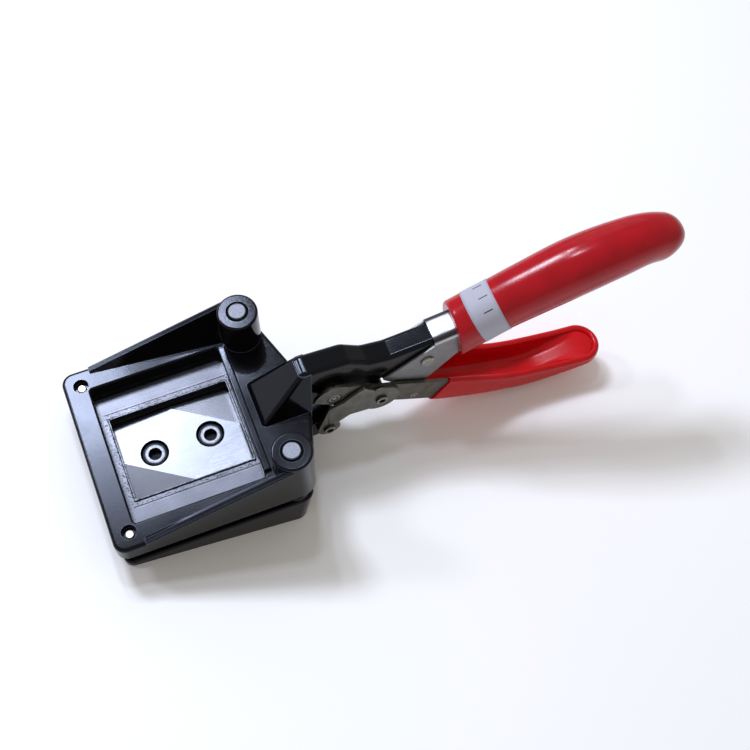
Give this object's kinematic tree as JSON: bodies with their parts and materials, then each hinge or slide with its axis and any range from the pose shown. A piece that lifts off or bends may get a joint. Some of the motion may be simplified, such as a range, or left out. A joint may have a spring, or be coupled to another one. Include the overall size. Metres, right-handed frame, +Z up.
{
  "type": "photo punch",
  "caption": "Hand-held photo punch with a rectangular steel die in a black cast head and two red-gripped handles.",
  "frame": {"origin": "middle of the flat base under the lower casting", "axes": "+X from the cutting head towards the handles along the table, +Z up from the base; the head is tilted by 11 degrees about Y"},
  "size_m": [0.2013, 0.066, 0.0851],
  "materials": {
    "enamelled_casting": "gloss",
    "ground_steel": "ground",
    "nickel_plated_steel": "satin",
    "turned_steel": "turned",
    "black_oxide_steel": "black oxide",
    "spring_steel": "drawn",
    "red_vinyl": "dipped gloss",
    "white_paper": "matte"
  },
  "bodies": {
    "head": {"upper_body": "enamelled_casting", "guide_bush_near": "black_oxide_steel", "guide_bush_far": "black_oxide_steel", "die_plate": "ground_steel", "die_insert": "ground_steel", "slot_spacer": "ground_steel", "guide_plate": "ground_steel", "die_screw_front_near": "turned_steel", "die_screw_front_far": "turned_steel", "die_screw_rear_near": "turned_steel", "die_screw_rear_far": "turned_steel", "upper_handle": "nickel_plated_steel", "handle_rivet": "turned_steel", "upper_grip": "red_vinyl", "size_label": "white_paper", "pivot_pin": "turned_steel", "pivot_washer_near": "turned_steel", "pivot_washer_far": "turned_steel"},
    "carrier": {"lower_body": "enamelled_casting", "punch": "ground_steel", "punch_screw_front": "black_oxide_steel", "punch_screw_rear": "black_oxide_steel", "guide_post_near": "turned_steel", "guide_post_far": "turned_steel", "link_pin": "turned_steel", "return_spring_near": "spring_steel", "return_spring_far": "spring_steel"},
    "lever": {"lower_handle": "nickel_plated_steel", "lower_grip": "red_vinyl", "middle_rivet": "turned_steel", "middle_spacer": "turned_steel", "stop_pin": "turned_steel"},
    "links": {"link_near": "nickel_plated_steel", "link_far": "nickel_plated_steel"}
  },
  "joints": [
    {"name": "squeeze", "type": "hinge", "parent": "head", "child": "lever", "pos_m": [0.04402, 0, 0.03219], "axis": [0, -1, 0], "range_deg": [0, 7.7], "stiffness_Nm_per_rad": 3, "springref_deg": -17.19},
    {"name": "punch_stroke", "type": "slide", "parent": "head", "child": "carrier", "axis": [-0.1908, 0, 0.9816], "range_m": [0, 0.005], "deforming": ["return_spring_near", "return_spring_far"]},
    {"name": "link_swing", "type": "hinge", "parent": "lever", "child": "links", "pos_m": [0.06136, 0, 0.02629], "axis": [0, -1, 0], "range_deg": [-16.32, 0]}
  ],
  "couplings": [
    {"joint": "punch_stroke", "follows": "squeeze", "m_per_rad": 0.037205},
    {"joint": "link_swing", "follows": "squeeze", "ratio": -2.081}
  ]
}
